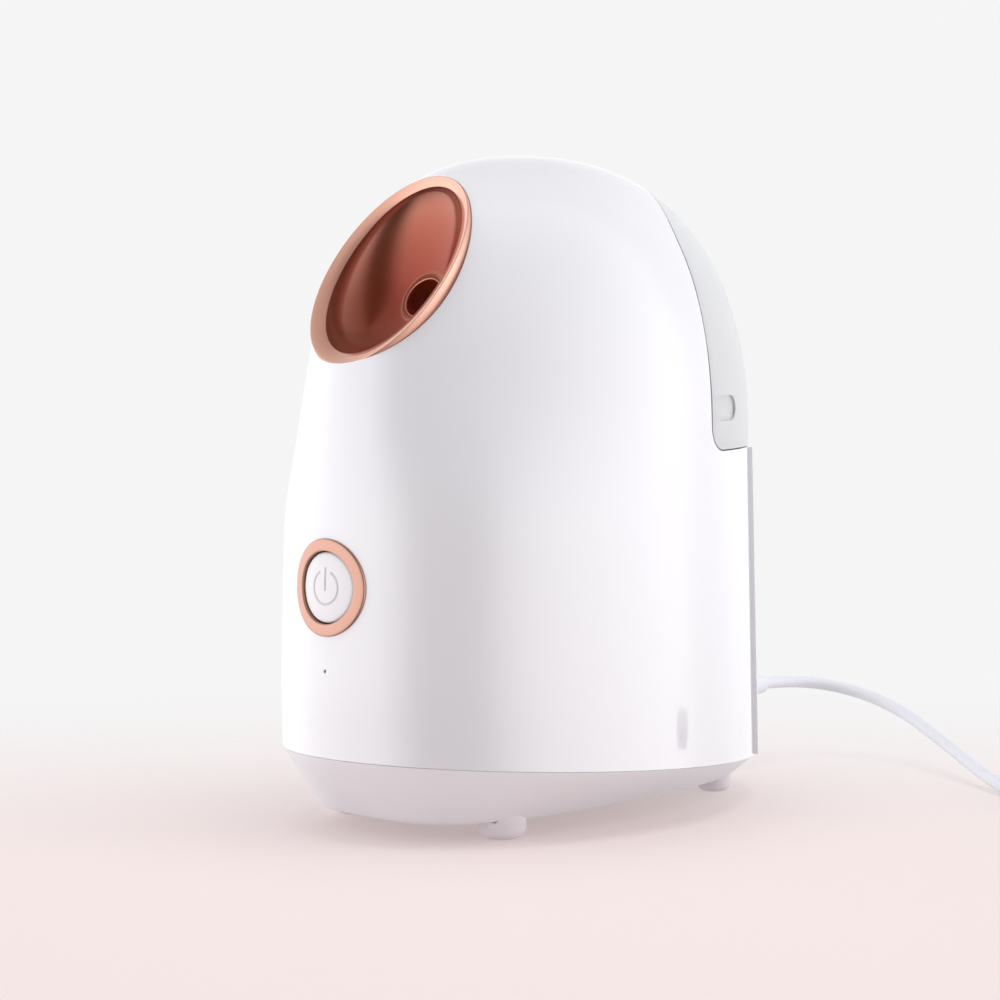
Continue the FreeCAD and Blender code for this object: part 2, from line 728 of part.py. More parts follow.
def makePlug():
    """A flat two-pin plug that lies on the floor beside the coil."""
    heading = V(-math.sin(coilLeave), math.cos(coilLeave), 0)
    tangent = coilPoint(coilLeave, coilTurnRadius + cordDiameter, 0)
    start = tangent + heading * plugLead
    place = FreeCAD.Placement(start, FreeCAD.Rotation(V(1, 0, 0), heading))
    height = 7.0
    tail = cone(2.9, 4.4, (0, 0, height), (12, 0, height))
    body = box(11, 34, -10, 10, 0.5, 2 * height - 0.5)
    body = body.makeFillet(4.0, [e for e in body.Edges if e.BoundBox.XLength > 20])
    plug = body.fuse(tail)
    plug.Placement = place
    save("plug_body", plug)
    pins = [rod(2.0, (34, y, height), (52, y, height)) for y in (-5, 5)]
    pair = group(pins)
    pair.Placement = place
    save("plug_pins", pair)
    off = coilPoint(coilLeave, coilTurnRadius + cordDiameter, cordDiameter * (coilLayers - 0.5))
    end = start + V(0, 0, height)
    save("plug_lead", rod(cordRadius, off, end))


makeMainShell()
makeRearPanel()
makeBasePan()
makeFeet()
makeBaseScrews()
makeNozzle()
makeSteamHose()
makeButton()
makeControlBoard()
makeBoiler()
makeTankBay()
makeTank()
makePowerBoard()
makeStrainRelief()
makeCord()
makePlug()
print(len(saved), "nodes")
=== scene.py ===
import json
import math
import bmesh
import bpy
import numpy as np
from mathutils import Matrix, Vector


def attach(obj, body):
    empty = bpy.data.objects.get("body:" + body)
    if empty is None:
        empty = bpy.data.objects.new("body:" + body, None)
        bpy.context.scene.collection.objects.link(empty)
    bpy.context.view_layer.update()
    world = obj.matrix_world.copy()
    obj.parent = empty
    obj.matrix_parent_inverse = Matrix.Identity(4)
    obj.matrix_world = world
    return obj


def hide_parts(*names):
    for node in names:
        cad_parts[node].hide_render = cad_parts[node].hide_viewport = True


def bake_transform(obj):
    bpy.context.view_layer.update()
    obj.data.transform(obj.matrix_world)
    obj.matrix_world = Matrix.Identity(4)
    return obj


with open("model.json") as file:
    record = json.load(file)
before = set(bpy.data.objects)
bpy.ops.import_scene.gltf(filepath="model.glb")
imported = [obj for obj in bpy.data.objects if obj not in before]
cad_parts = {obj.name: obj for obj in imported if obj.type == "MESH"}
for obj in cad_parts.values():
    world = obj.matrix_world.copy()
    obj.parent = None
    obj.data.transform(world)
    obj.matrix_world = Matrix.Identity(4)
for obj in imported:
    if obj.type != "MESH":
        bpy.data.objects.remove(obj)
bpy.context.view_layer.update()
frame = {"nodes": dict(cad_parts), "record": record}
nodes = frame["nodes"]
mm = 0.001

housing = dict(halfWidth=0.0645, halfDepth=0.0885, topHeight=0.210, domeBase=0.120, domePower=2.3,
               upperShrink=0.967, formBase=0.019, centreY=-0.00075, seamMid=0.019, seamSlope=0.0756,
               gridLow=0.009, wall=0.0024, edge=0.0002, panelLine=0.062, panelLap=0.001, fine=0.0004)
fullness = dict(front=0.018, frontFrom=0.019, frontFull=0.050, frontFade=0.100, frontEnd=0.150,
                shoulder=0.084, shoulderFrom=0.090, shoulderFull=0.145)
bay = dict(front=0.0205, floor=0.1165, corner=0.008, arch=0.024, archHeight=0.180)


def eased(values, start, stop):
    # a smooth climb from 0 to 1 between start and stop
    share = np.clip((values - start) / (stop - start), 0, 1)
    return share * share * (3 - 2 * share)


def frontReach(z):
    # the form's front is a little fuller at button height than a plain oval
    f = fullness
    fuller = eased(z, f["frontFrom"], f["frontFull"]) * (1 - eased(z, f["frontFade"], f["frontEnd"]))
    return 1 + f["front"] * fuller


def shoulder(z, sine, cosine):
    # and its two upper front corners a little slimmer; sine and cosine are of the bearing round the form
    f = fullness
    slimmer = f["shoulder"] * eased(z, f["shoulderFrom"], f["shoulderFull"]) * (2 * sine * cosine) ** 2
    return np.where(cosine > 0, 1 - slimmer, 1.0)


def formLevel(points, offset=0.0):
    # 1 on the housing form, less inside: an oval plan times a taper, with a superellipse dome above
    h = housing
    x, y, z = points[:, 0], points[:, 1], points[:, 2]
    away = h["centreY"] - y
    depth = (h["halfDepth"] + offset) * np.where(away > 0, frontReach(z), 1)
    across, along = x / (h["halfWidth"] + offset), away / depth
    radial = np.hypot(across, along)
    safe = np.maximum(radial, 1e-9)
    radial = radial / shoulder(z, across / safe, along / safe)
    taper = 1 - h["upperShrink"]
    side = h["upperShrink"] + taper * (h["domeBase"] - z) / (h["domeBase"] - h["formBase"])
    rise = np.maximum(z - h["domeBase"], 0) / (h["topHeight"] + offset - h["domeBase"])
    power = h["domePower"]
    dome = (np.abs(radial / h["upperShrink"]) ** power + rise ** power) ** (1 / power)
    return np.where(z > h["domeBase"], dome, radial / side)


def toForm(points, offset=0.0):
    # moves points onto the form: sideways below the dome, and away from the dome's centre in it
    h = housing
    moved = points
    for step in range(3):
        level = formLevel(moved, offset)[:, None]
        centre = np.column_stack((np.zeros(len(moved)), np.full(len(moved), h["centreY"]), moved[:, 2]))
        centre[:, 2] = np.minimum(moved[:, 2], h["domeBase"])
        moved = centre + (moved - centre) / level
    return moved


def frontOf(x, z):
    # y of the form's front at x and z, by the same oval and taper
    h = housing
    x, z = np.broadcast_arrays(np.asarray(x, float), np.asarray(z, float))
    side = h["upperShrink"] + (1 - h["upperShrink"]) * (h["domeBase"] - z) / (h["domeBase"] - h["formBase"])
    rise = np.clip(z - h["domeBase"], 0, None) / (h["topHeight"] - h["domeBase"])
    dome = h["upperShrink"] * np.clip(1 - rise ** h["domePower"], 0, None) ** (1 / h["domePower"])
    share = np.where(z > h["domeBase"], dome, side)
    across = x / h["halfWidth"]
    limit = share
    for step in range(3):
        along = np.sqrt(np.clip(limit ** 2 - across ** 2, 0, None))
        limit = share * shoulder(z, across / limit, along / limit)
    return h["centreY"] - h["halfDepth"] * frontReach(z) * along


def bayDistance(points):
    # how far a point lies outside the tank bay, seen from the side; negative inside it
    b = bay
    y, z = points[:, 1], points[:, 2]
    archY = b["front"] + b["arch"]
    low = np.maximum(b["front"] - y, b["floor"] - z)
    cornerY, cornerZ = b["front"] + b["corner"], b["floor"] + b["corner"]
    rounded = np.hypot(y - cornerY, z - cornerZ) - b["corner"]
    inCorner = (y < cornerY) & (z < cornerZ)
    low = np.where(inCorner, rounded, low)
    high = np.hypot(y - archY, z - b["archHeight"]) - b["arch"]
    high = np.where(y > archY, z - b["archHeight"] - b["arch"], high)
    return np.where(z > b["archHeight"], high, low)


def seamHeight(y):
    # the seam between shell and pan slopes down towards the back
    return housing["seamMid"] - housing["seamSlope"] * y



def addMesh(name, points, faces):
    mesh = bpy.data.meshes.new(name)
    mesh.from_pydata(points.tolist(), [], faces.tolist())
    mesh.polygons.foreach_set("use_smooth", np.ones(len(mesh.polygons), bool))
    mesh.update()
    piece = bpy.data.objects.new(name, mesh)
    bpy.context.scene.collection.objects.link(piece)
    return piece


def gridFaces(rows, columns, closed=False):
    # quads of a grid of points, wrapped round when the columns close
    r = np.arange(rows - 1)[:, None]
    c = np.arange(columns if closed else columns - 1)[None, :]
    following = (c + 1) % columns
    quads = np.stack([r * columns + c, r * columns + following,
                      (r + 1) * columns + following, (r + 1) * columns + c], axis=-1)
    return quads.reshape(-1, 4)


def merge(piece, distance=1e-6, speck=1e-13):
    # welds points that share a place, so poles and seams close, and drops faces with no area
    work = bmesh.new()
    work.from_mesh(piece.data)
    bmesh.ops.remove_doubles(work, verts=work.verts, dist=distance)
    loose = [f for f in work.faces if f.calc_area() < speck]
    bmesh.ops.delete(work, geom=loose, context="FACES")
    work.to_mesh(piece.data)
    work.free()
    return piece


def faceOut(piece):
    work = bmesh.new()
    work.from_mesh(piece.data)
    bmesh.ops.recalc_face_normals(work, faces=work.faces)
    work.to_mesh(piece.data)
    work.free()
    return piece


def trimmed(points, triangles, distance, settle):
    # cuts a triangle mesh along distance = 0 and keeps the positive side: each crossing edge's
    # nearer end slides along the edge to the line, and the moved points settle on the surface again
    d = distance(points)
    edges = np.concatenate([triangles[:, [0, 1]], triangles[:, [1, 2]], triangles[:, [2, 0]]])
    edges = np.unique(np.sort(edges, axis=1), axis=0)
    crossing = edges[d[edges[:, 0]] * d[edges[:, 1]] < 0]
    da, db = d[crossing[:, 0]], d[crossing[:, 1]]
    share = da / (da - db)
    nearFirst = share < 0.5
    mover = np.where(nearFirst, crossing[:, 0], crossing[:, 1])
    target = points[crossing[:, 0]] + share[:, None] * (points[crossing[:, 1]] - points[crossing[:, 0]])
    travel = np.linalg.norm(target - points[mover], axis=1)
    order = np.argsort(-travel)
    moved = points.copy()
    moved[mover[order]] = target[order]
    touched = np.unique(mover)
    moved[touched] = settle(moved[touched])
    d = distance(moved)
    d[touched] = 0
    middle = distance(moved[triangles].mean(axis=1))
    corners = d[triangles]
    keep = (corners >= 0).all(axis=1) & ((corners > 0).any(axis=1) | (middle > 0))
    return moved, triangles[keep]


def compact(points, triangles):
    # drops the points that no triangle uses
    used = np.unique(triangles)
    index = np.zeros(len(points), int)
    index[used] = np.arange(len(used))
    return points[used], index[triangles]


def denser(start, stop, step, spots=(), growth=0.35):
    # parameter values about one step apart, closer together near each (place, reach, step) spot
    values = [start]
    while values[-1] < stop:
        here = step
        for place, reach, fine in spots:
            gap = max(abs(values[-1] - place) - reach, 0)
            here = min(here, fine + gap * growth)
        values.append(values[-1] + here)
    values = np.array(values)
    return start + (values - start) * (stop - start) / (values[-1] - start)


def formGrid(offset, spots=(), columnSpots=(), columnStep=0.026, rowStep=0.002):
    # the form as a grid: angle round it (0 at the front) by height up the side, then over the dome
    h = housing
    angle = denser(-math.pi, math.pi, columnStep, columnSpots)[:-1]
    side = denser(h["gridLow"], h["domeBase"], rowStep, spots)[:-1]
    arc = np.radians(np.linspace(0, 90, 64))
    power = 2 / h["domePower"]
    taper = (1 - h["upperShrink"]) / (h["domeBase"] - h["formBase"])
    overDome = h["upperShrink"] * np.clip(np.cos(arc), 0, 1) ** power
    share = np.concatenate([h["upperShrink"] + taper * (h["domeBase"] - side), overDome])
    rise = (h["topHeight"] + offset - h["domeBase"]) * np.sin(arc) ** power
    height = np.concatenate([side, h["domeBase"] + rise])
    share[-1] = 0
    z = np.repeat(height[:, None], len(angle), axis=1)
    sine, cosine = np.broadcast_to(np.sin(angle), z.shape), np.broadcast_to(np.cos(angle), z.shape)
    reach = share[:, None] * shoulder(z, sine, cosine)
    x = reach * sine * (h["halfWidth"] + offset)
    y = h["centreY"] - reach * cosine * (h["halfDepth"] + offset) * np.where(cosine > 0, frontReach(z), 1)
    points = np.stack([x, y, z], axis=-1).reshape(-1, 3)
    quads = gridFaces(len(share), len(angle), closed=True)
    top = (len(share) - 1) * len(angle)
    quads = np.where(quads >= top, top, quads)
    triangles = np.concatenate([quads[:, [0, 1, 2]], quads[:, [0, 2, 3]]])
    a, b, c = triangles.T
    return points, triangles[(a != b) & (b != c) & (a != c)]


def cutBy(points, triangles, cuts, settle):
    # trims a mesh by each distance in turn
    for distance in cuts:
        points, triangles = trimmed(points, triangles, distance, settle)
        points, triangles = compact(points, triangles)
    return points, triangles


def thicken(piece, thickness, width, segments):
    # gives a trimmed sheet its wall, inwards, and softens the edges of the cuts
    wall = piece.modifiers.new("Solidify", "SOLIDIFY")
    wall.thickness, wall.offset = thickness, -1
    edge = piece.modifiers.new("Bevel", "BEVEL")
    edge.width, edge.segments = width, segments
    edge.limit_method, edge.angle_limit = "ANGLE", math.radians(50)
    edge.harden_normals = True


camera = dict(azimuth=42.4, elevation=3.8, distance=0.900, aim=(0, 0, 0.100), lens=100.08, sensor=36,
              shiftX=-0.026, shiftY=-0.001, clip=(0.05, 20))


def addCamera():
    a, e = math.radians(camera["azimuth"]), math.radians(camera["elevation"])
    away = Vector((math.cos(e) * math.sin(a), -math.cos(e) * math.cos(a), math.sin(e)))
    data = bpy.data.cameras.new("camera")
    data.lens, data.sensor_width = camera["lens"], camera["sensor"]
    data.shift_x, data.shift_y = camera["shiftX"], camera["shiftY"]
    data.clip_start, data.clip_end = camera["clip"]
    piece = bpy.data.objects.new("camera", data)
    piece.location = Vector(camera["aim"]) + away * camera["distance"]
    piece.rotation_euler = (-away).to_track_quat("-Z", "Y").to_euler()
    bpy.context.scene.collection.objects.link(piece)
    bpy.context.scene.camera = piece


addCamera()
print("camera placed")

lead = dict(diameter=0.0042, exit=(0, 0.125, 0.0276), coilCentre=(0.139, 0.139), turnRadius=0.024,
            entry=math.radians(245), leave=math.radians(330), plugLead=0.018, plugHeight=0.007,
            plugReach=0.004, pointsPerTurn=14, lastTurns=1.0 + 85 / 360)
leadRoute = [(0, 125, 27.6), (0.4, 136, 27.4), (7, 149.2, 26.2), (20.5, 156.5, 23.4), (40, 154.7, 18.8),
             (62, 144.3, 12.9), (83.5, 132.3, 7.2), (102.5, 121.3, 2.9), (115.5, 115.8, 2.1)]


def coilTurns():
    # three flat layers of turns: outside in, inside out, then a widening turn on top
    d = lead["diameter"]
    layers = [(3.0, d, -d), (3.0, -d, d), (lead["lastTurns"], 0, d)]   # turns, first and last offset
    angle, points = lead["entry"], []
    for level, (turns, first, last) in enumerate(layers):
        count = int(turns * lead["pointsPerTurn"])
        t = np.arange(count) / count
        whole = np.floor(t * turns + 1e-6) / max(round(turns) - 1, 1)
        radius = lead["turnRadius"] + first + (last - first) * whole
        if level == 2:
            radius = lead["turnRadius"] + np.minimum(first + (last - first) * t * turns, last)
        height = d * (0.5 + level)
        a = angle + 2 * np.pi * turns * t
        points += list(zip(radius * np.cos(a), radius * np.sin(a), np.full(count, height)))
        angle += 2 * math.pi * turns
    cx, cy = lead["coilCentre"]
    return [(cx + x, cy + y, z) for x, y, z in points]


def addLead():
    d = lead["diameter"]
    route = [(x * mm, y * mm, z * mm) for x, y, z in leadRoute] + coilTurns()
    out = lead["leave"]
    cx, cy = lead["coilCentre"]
    reach = lead["turnRadius"] + d
    tangent = Vector((cx + reach * math.cos(out), cy + reach * math.sin(out), d * 2.5))
    heading = Vector((-math.sin(out), math.cos(out), 0))
    end = tangent + heading * lead["plugLead"]
    end.z = lead["plugHeight"]
    route += [tuple(tangent), tuple(tangent.lerp(end, 0.5)), tuple(end)]
    route.append(tuple(end + heading * lead["plugReach"]))
    curve = bpy.data.curves.new("mainsLead", "CURVE")
    curve.dimensions = "3D"
    curve.resolution_u = 8
    curve.bevel_depth = 1.0
    curve.bevel_resolution = 5
    curve.use_fill_caps = True
    spline = curve.splines.new("NURBS")
    spline.points.add(len(route) - 1)
    spline.points.foreach_set("co", np.column_stack((np.array(route), np.ones(len(route)))).ravel())
    spline.points.foreach_set("radius", np.full(len(route), d / 2))   # the bevel is 1 m times this
    spline.order_u = 3
    spline.use_endpoint_u = True
    piece = bpy.data.objects.new("mainsLead", curve)
    bpy.context.scene.collection.objects.link(piece)
    piece.visible_glossy = False
    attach(piece, "housing")
    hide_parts("power_cord", "cord_coil", "plug_lead")
    return piece


leadPiece = addLead()
print("lead laid")


def makeMaterial(name, **values):
    material = bpy.data.materials.new(name)
    material.use_nodes = True
    shader = material.node_tree.nodes["Principled BSDF"]
    for key, value in values.items():
        shader.inputs[key.replace("_", " ")].default_value = value
    return material, material.node_tree, shader


grainLook = dict(mottleDetail=3, grainDetail=2, bumpReach=0.0001, tonedTint=(0.93, 0.91, 0.90, 1))


def makeGrainGroup():
    # fine surface variation: a soft mottling of colour and roughness, and a bump height
    group = bpy.data.node_groups.new("mouldGrain", "ShaderNodeTree")
    for label in ("Colour", "Tint"):
        group.interface.new_socket(label, in_out="INPUT", socket_type="NodeSocketColor")
    for label in ("Scale", "Amount", "Rough", "Rough spread", "Grain scale", "Grain depth"):
        group.interface.new_socket(label, in_out="INPUT", socket_type="NodeSocketFloat")
    for label, kind in (("Colour", "Color"), ("Roughness", "Float"), ("Normal", "Vector")):
        group.interface.new_socket(label, in_out="OUTPUT", socket_type="NodeSocket" + kind)
    tree = group.nodes
    source = tree.new("NodeGroupInput")
    sink = tree.new("NodeGroupOutput")
    place = tree.new("ShaderNodeTexCoord")
    mottle = tree.new("ShaderNodeTexNoise")
    mottle.inputs["Detail"].default_value = grainLook["mottleDetail"]
    grain = tree.new("ShaderNodeTexNoise")
    grain.inputs["Detail"].default_value = grainLook["grainDetail"]
    amount = tree.new("ShaderNodeMath")
    amount.operation = "MULTIPLY"
    mix = tree.new("ShaderNodeMix")
    mix.data_type = "RGBA"
    spread = tree.new("ShaderNodeMath")
    spread.operation = "MULTIPLY_ADD"
    bump = tree.new("ShaderNodeBump")
    bump.inputs["Distance"].default_value = grainLook["bumpReach"]
    link = group.links.new
    link(place.outputs["Object"], mottle.inputs["Vector"])
    link(place.outputs["Object"], grain.inputs["Vector"])
    link(source.outputs["Scale"], mottle.inputs["Scale"])
    link(source.outputs["Grain scale"], grain.inputs["Scale"])
    link(mottle.outputs[0], amount.inputs[0])
    link(source.outputs["Amount"], amount.inputs[1])
    link(amount.outputs[0], mix.inputs["Factor"])
    link(source.outputs["Colour"], mix.inputs[6])
    link(source.outputs["Tint"], mix.inputs[7])
    link(grain.outputs[0], spread.inputs[0])
    link(source.outputs["Rough spread"], spread.inputs[1])
    link(source.outputs["Rough"], spread.inputs[2])
    link(grain.outputs[0], bump.inputs["Height"])
    link(source.outputs["Grain depth"], bump.inputs["Strength"])
    link(mix.outputs[2], sink.inputs["Colour"])
    link(spread.outputs[0], sink.inputs["Roughness"])
    link(bump.outputs[0], sink.inputs["Normal"])
    return group


grainGroup = makeGrainGroup()


def grained(name, colour, tint, rough, spread=0.05, scale=60, amount=0.3, grainScale=1500, depth=0.1,
            **values):
    # a Principled material whose colour, roughness and normal come from the grain group
    material, tree, shader = makeMaterial(name, **values)
    grain = tree.nodes.new("ShaderNodeGroup")
    grain.node_tree = grainGroup
    grain.inputs["Colour"].default_value = (*colour, 1)
    grain.inputs["Tint"].default_value = (*tint, 1)
    for label, value in (("Scale", scale), ("Amount", amount), ("Rough", rough), ("Rough spread", spread),
                         ("Grain scale", grainScale), ("Grain depth", depth)):
        grain.inputs[label].default_value = value
    tree.links.new(grain.outputs["Colour"], shader.inputs["Base Color"])
    tree.links.new(grain.outputs["Roughness"], shader.inputs["Roughness"])
    tree.links.new(grain.outputs["Normal"], shader.inputs["Normal"])
    return material


def toned(name, attribute, tones, rough, **values):
    # like grained, with its colour run along a painted attribute from 0 to 1
    material = grained(name, tones[0][1], tones[0][1], rough, **values)
    tree = material.node_tree
    grain = next(n for n in tree.nodes if n.type == "GROUP")
    painted = tree.nodes.new("ShaderNodeAttribute")
    painted.attribute_name = attribute
    ramp = tree.nodes.new("ShaderNodeValToRGB")
    while len(ramp.color_ramp.elements) < len(tones):
        ramp.color_ramp.elements.new(0.5)
    for element, (place, colour) in zip(ramp.color_ramp.elements, tones):
        element.position = place
        element.color = (*colour, 1)
    tree.links.new(painted.outputs["Fac"], ramp.inputs[0])
    tree.links.new(ramp.outputs[0], grain.inputs["Colour"])
    darker = tree.nodes.new("ShaderNodeMix")
    darker.data_type = "RGBA"
    darker.blend_type = "MULTIPLY"
    darker.inputs["Factor"].default_value = 1.0
    darker.inputs[7].default_value = grainLook["tonedTint"]
    tree.links.new(ramp.outputs[0], darker.inputs[6])
    tree.links.new(darker.outputs[2], grain.inputs["Tint"])
    return material


def paint(piece, attribute, values):
    # stores one value a point, for a material to read
    layer = piece.data.attributes.new(attribute, "FLOAT", "POINT")
    layer.data.foreach_set("value", np.asarray(values, np.float32))


glossWhite = grained("glossWhite", (0.79, 0.79, 0.82), (0.77, 0.77, 0.81), 0.09, 0.03, scale=25, depth=0.02,
                     Coat_Weight=1.0, Coat_Roughness=0.04, Coat_IOR=1.75, IOR=1.6)
panelWhite = grained("panelWhite", (0.84, 0.84, 0.87), (0.81, 0.81, 0.85), 0.16, 0.03, scale=25, depth=0.02,
                     IOR=1.5)
panSatin = grained("panSatin", (0.80, 0.785, 0.815), (0.77, 0.755, 0.79), 0.34, 0.06, scale=40,
                   grainScale=2600, depth=0.12, IOR=1.48)
# rose gold ramp: the lip keeps the plating's colour; the darker, redder tones down the bowl and neck are
# painted shade, and the brighter band at the neck's bead is a painted highlight
roseTonesPaintedLight = [(0.0, (0.80, 0.43, 0.315)), (0.06, (0.76, 0.38, 0.28)), (0.10, (0.36, 0.14, 0.095)),
             (0.55, (0.36, 0.082, 0.04)), (0.86, (0.34, 0.045, 0.018)), (0.91, (0.60, 0.24, 0.15)),
             (0.94, (0.50, 0.12, 0.06)), (1.0, (0.55, 0.09, 0.045))]   # lip, painted shade down the bowl, painted highlight on the neck's bead, painted shade in the neck
roseGold = toned("roseGold", "depth", roseTonesPaintedLight, 0.17, spread=0.06, scale=120, grainScale=2200, depth=0.03,
                 Metallic=0.65, Coat_Weight=0.5, Coat_Roughness=0.1)
ringGold = grained("ringGold", (0.52, 0.285, 0.215), (0.47, 0.25, 0.185), 0.26, 0.06, scale=120,
                   grainScale=2200, depth=0.03, Metallic=0.85, Coat_Weight=0.3, Coat_Roughness=0.15)
frosted = grained("frosted", (0.84, 0.85, 0.86), (0.81, 0.82, 0.84), 0.34, 0.08, scale=50, depth=0.1,
                  Transmission_Weight=0.3, IOR=1.46)
buttonTones = [(0.0, (0.86, 0.86, 0.88)), (1.0, (0.69, 0.69, 0.72))]   # cap, pressed-in symbol
buttonWhite = toned("buttonWhite", "mark", buttonTones, 0.24, depth=0.05)
footSoft = grained("footSoft", (0.78, 0.73, 0.76), (0.74, 0.69, 0.72), 0.55, 0.1,
                   grainScale=3000, depth=0.2)
leadSoft = grained("leadSoft", (0.82, 0.83, 0.88), (0.79, 0.80, 0.86), 0.38, 0.08,
                   grainScale=2500, depth=0.1)
silicone = grained("silicone", (0.78, 0.80, 0.82), (0.70, 0.72, 0.74), 0.45, 0.1, depth=0.1,
                   Subsurface_Weight=0.2)
innerWhite = grained("innerWhite", (0.72, 0.73, 0.75), (0.66, 0.67, 0.70), 0.42, 0.1, depth=0.15)
brushed = grained("brushed", (0.60, 0.60, 0.62), (0.48, 0.48, 0.50), 0.28, 0.15,
                  grainScale=900, depth=0.15, Metallic=1.0)
castMetal = grained("castMetal", (0.62, 0.62, 0.63), (0.50, 0.50, 0.52), 0.40, 0.2,
                    grainScale=700, depth=0.4, Metallic=1.0)
galvanised = grained("galvanised", (0.42, 0.43, 0.45), (0.52, 0.53, 0.55), 0.35, 0.2,
                     scale=180, amount=0.8, depth=0.1, Metallic=0.9)
boardGreen = grained("boardGreen", (0.02, 0.17, 0.07), (0.03, 0.24, 0.10), 0.28, 0.1,
                     scale=300, amount=0.7, depth=0.1)
blackPart = grained("blackPart", (0.03, 0.03, 0.035), (0.05, 0.05, 0.055), 0.40, 0.15, depth=0.2)
redPart = grained("redPart", (0.25, 0.03, 0.02), (0.32, 0.05, 0.03), 0.35, 0.1, depth=0.1)
clearLens = grained("clearLens", (0.30, 0.32, 0.34), (0.24, 0.26, 0.28), 0.15, 0.05, depth=0.02,
                    Transmission_Weight=0.5)
nickel = grained("nickel", (0.75, 0.72, 0.66), (0.68, 0.65, 0.60), 0.18, 0.1, depth=0.05, Metallic=1.0)

slotMaterial = dict(shell_white=glossWhite, pan_white=panSatin, rose_gold=roseGold, tank_frost=frosted,
                    foot_rubber=footSoft, silicone=silicone, inner_plastic=innerWhite, steel=brushed,
                    boiler_alloy=castMetal, bracket_steel=galvanised, circuit_board=boardGreen,
                    black_part=blackPart, plunger_part=redPart, lens=clearLens, lead_white=leadSoft,
                    pin_metal=nickel)


def setMaterial(piece, material):
    piece.data.materials.clear()
    piece.data.materials.append(material)


for entry in frame["record"]["subparts"]:
    setMaterial(nodes[entry["node"]], slotMaterial[entry["material_slot"]])
setMaterial(leadPiece, leadSoft)
print("materials given")

pan = dict(bottom=0.0055, halfWidth=0.040, front=0.0725, back=0.080, power=3.4, gap=0.00005, edge=0.0022,
           wall=0.0022, rim=0.0004, soft=0.0001, lap=0.004, floorInset=0.001, columns=240)


def makePan():
    # straight walls from a squarish bottom outline (superellipse) up to the oval seam, with a rolled
    # lower edge; rows run from the middle of the underside outwards, up the wall and over its rim
    p, h = pan, housing
    a = np.arange(p["columns"]) * 2 * math.pi / p["columns"]
    c, s = np.cos(a), np.sin(a)
    power = 2 / p["power"]
    reach = np.where(s < 0, p["front"], p["back"])
    low = np.column_stack((np.sign(c) * np.abs(c) ** power * p["halfWidth"],
                           np.sign(s) * np.abs(s) ** power * reach, np.full(len(a), p["bottom"])))
    seamY = h["centreY"] + h["halfDepth"] * s
    high = np.column_stack((h["halfWidth"] * c, seamY, seamHeight(seamY) - p["gap"]))
    slope = high - low
    length = np.linalg.norm(slope, axis=1)[:, None]
    along = slope / length
    inward = low * (-1, -1, 0)
    inward = inward / np.linalg.norm(inward, axis=1)[:, None]
    floorTop = np.array((0, 0, p["wall"]))
    rows = [low * (share, share, 1) for share in (0.0, 0.3, 0.6, 0.8, 0.9)]
    e = p["edge"]
    for t in np.linspace(0, 1, 9):
        rows.append((low + inward * e) * (1 - t) ** 2 + 2 * low * t * (1 - t) + (low + along * e) * t ** 2)
    rows += [low + along * (e + (length - e - p["rim"]) * t) for t in (0.25, 0.5, 0.75, 1.0)]
    rows.append(high - along * p["soft"] + inward * p["soft"])
    rows += [high + inward * p["rim"], high + inward * p["wall"]]
    rows.append(high + inward * p["wall"] - along * p["lap"])
    rows.append(low + inward * (p["wall"] + p["floorInset"]) + floorTop)
    rows += [low * (share, share, 1) + floorTop for share in (0.5, 0.0)]
    piece = addMesh("basePan", np.concatenate(rows), gridFaces(len(rows), len(a), closed=True))
    merge(piece)
    faceOut(piece)
    setMaterial(piece, panSatin)
    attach(piece, "housing")
    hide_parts("base_pan")


panel = dict(proud=0.0015, start=0.0623, top=0.1162, gap=0.0003, wall=0.0036, edge=0.0010, holeHeight=0.0276,
             holeRadius=0.0053, slotHalfWidth=0.0011, slotLow=0.062, slotHigh=0.092, slotSpacing=0.008,
             fine=0.0006, fineReach=0.42, rowStep=0.0012)


def slotDistance(p):
    # how far a point lies outside the nearest of six upright slots with rounded ends
    s = panel
    half = s["slotSpacing"] / 2
    place = np.clip(np.round((p[:, 0] - half) / s["slotSpacing"]), -3, 2) * s["slotSpacing"] + half
    middle = np.clip(p[:, 2], s["slotLow"] + s["slotHalfWidth"], s["slotHigh"] - s["slotHalfWidth"])
    return np.hypot(p[:, 0] - place, p[:, 2] - middle) - s["slotHalfWidth"]


def makeRearPanel():
    fine = panel["fine"] / housing["halfWidth"]
    spots = [(side, panel["fineReach"], fine) for side in (-math.pi, math.pi)]
    points, triangles = formGrid(panel["proud"], columnSpots=spots, rowStep=panel["rowStep"])
    cuts = [
        lambda p: p[:, 1] - panel["start"],
        lambda p: panel["top"] - p[:, 2],
        lambda p: p[:, 2] - seamHeight(p[:, 1]) - panel["gap"],
        lambda p: np.hypot(p[:, 0], p[:, 2] - panel["holeHeight"]) - panel["holeRadius"],
        slotDistance,
    ]
    points, triangles = cutBy(points, triangles, cuts, lambda p: toForm(p, panel["proud"]))
    piece = addMesh("rearPanel", points, triangles)
    faceOut(piece)
    thicken(piece, panel["wall"], panel["edge"], 4)
    setMaterial(piece, panelWhite)
    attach(piece, "housing")
    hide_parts("rear_panel")
    print("rear panel", len(points), "points")


nozzle = dict(centre=(0, -0.0619, 0.1733), rimElevation=36.5, neckElevation=30, halfWidth=0.0268,
              halfLength=0.0360, proud=0.0005, skirt=0.0055, lip=0.0041, lipDrop=0.0013, mouthRise=0.0012,
              depth=0.017, neckBore=0.0068, bead=0.0004, neckLength=0.013, wall=0.0014, neckWall=0.0012,
              cutDepth=0.012, clearance=0.0001)
button = dict(height=0.0777, radius=0.0107, ringBore=0.0110, ringRadius=0.0148, shellBore=0.0121,
              ledHeight=0.0524, ledRadius=0.00055, ledReach=0.0012, stemRadius=0.0025, stemEnd=-0.07735,
              edge=0.0008, crown=0.0004, skirt=0.003, cupInset=0.0012, cupDepth=0.0014)


